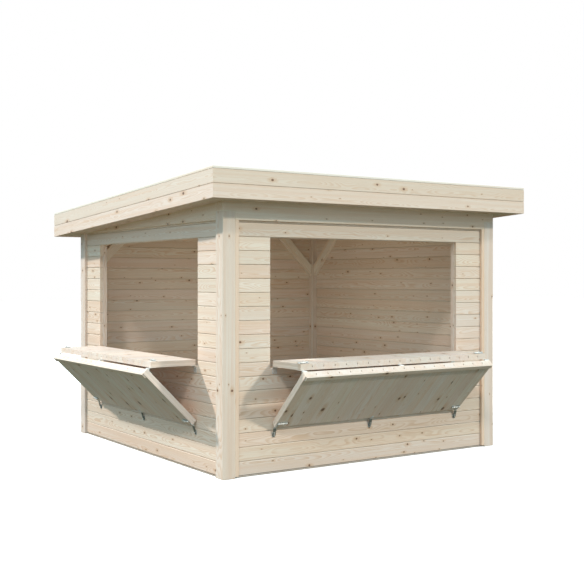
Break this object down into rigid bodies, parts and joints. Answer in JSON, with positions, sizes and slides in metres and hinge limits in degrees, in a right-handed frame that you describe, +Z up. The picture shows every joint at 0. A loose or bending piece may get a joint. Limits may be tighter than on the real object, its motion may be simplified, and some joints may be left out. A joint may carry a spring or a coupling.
{
  "type": "wooden market stall",
  "caption": "Square timber market stall with a mono-pitch roof and two service openings closed by hinged counters with folding prop flaps.",
  "frame": {"origin": "middle of the ground under the stall's outline, counters and roof overhang included", "axes": "+X to the right along the front wall, +Y from the front wall to the back wall, +Z up; one service opening faces -Y and the other -X"},
  "size_m": [3.6814, 3.7014, 2.4802],
  "materials": {
    "wall_boards": "planed untreated spruce boards",
    "frame_pine": "planed untreated spruce posts and beams",
    "roof_boards": "planed untreated spruce boards",
    "fascia_boards": "planed untreated spruce boards",
    "counter_pine": "planed untreated spruce boards",
    "bearer_pine": "rough grey softwood",
    "zinc_steel": "bright zinc plate"
  },
  "bodies": {
    "stall": {"ground_bearers": "bearer_pine", "front_posts": "frame_pine", "back_posts": "frame_pine", "front_wall_lower": "wall_boards", "front_wall_piers": "wall_boards", "front_wall_lintel": "wall_boards", "left_wall_lower": "wall_boards", "left_wall_piers": "wall_boards", "left_wall_lintel": "wall_boards", "right_wall": "wall_boards", "back_wall": "wall_boards", "front_jambs": "frame_pine", "front_rails": "frame_pine", "left_jambs": "frame_pine", "left_rails": "frame_pine", "cover_battens": "frame_pine", "front_beam": "frame_pine", "back_beam": "frame_pine", "side_beams": "frame_pine", "corner_braces": "frame_pine", "rafters": "roof_boards", "roof_deck": "roof_boards", "end_soffits": "roof_boards", "side_soffits": "roof_boards", "front_fascia": "fascia_boards", "back_fascia": "fascia_boards", "side_fascias": "fascia_boards", "roof_edge_strip": "fascia_boards", "front_sill_hinges": "zinc_steel", "left_sill_hinges": "zinc_steel", "front_hasps": "zinc_steel", "left_hasps": "zinc_steel"},
    "front_counter": {"front_counter": "counter_pine", "front_counter_hinges": "zinc_steel", "front_counter_bolts": "zinc_steel"},
    "front_flap": {"front_flap": "counter_pine", "front_flap_hinges": "zinc_steel", "front_flap_bolts": "zinc_steel", "front_catches": "zinc_steel"},
    "left_counter": {"left_counter": "counter_pine", "left_counter_hinges": "zinc_steel", "left_counter_bolts": "zinc_steel"},
    "left_flap": {"left_flap": "counter_pine", "left_flap_hinges": "zinc_steel", "left_flap_bolts": "zinc_steel", "left_catches": "zinc_steel"}
  },
  "joints": [
    {"name": "front_counter_hinge", "type": "hinge", "parent": "stall", "child": "front_counter", "pos_m": [0.1357, -1.3613, 0.872], "axis": [-1, 0, 0], "range_deg": [0, 90]},
    {"name": "front_flap_hinge", "type": "hinge", "parent": "front_counter", "child": "front_flap", "pos_m": [0.1357, -1.7913, 0.872], "axis": [-1, 0, 0], "range_deg": [0, 135]},
    {"name": "left_counter_hinge", "type": "hinge", "parent": "stall", "child": "left_counter", "pos_m": [-1.3513, 0.1257, 0.872], "axis": [0, 1, 0], "range_deg": [0, 90]},
    {"name": "left_flap_hinge", "type": "hinge", "parent": "left_counter", "child": "left_flap", "pos_m": [-1.7813, 0.1257, 0.872], "axis": [0, 1, 0], "range_deg": [0, 135]}
  ]
}
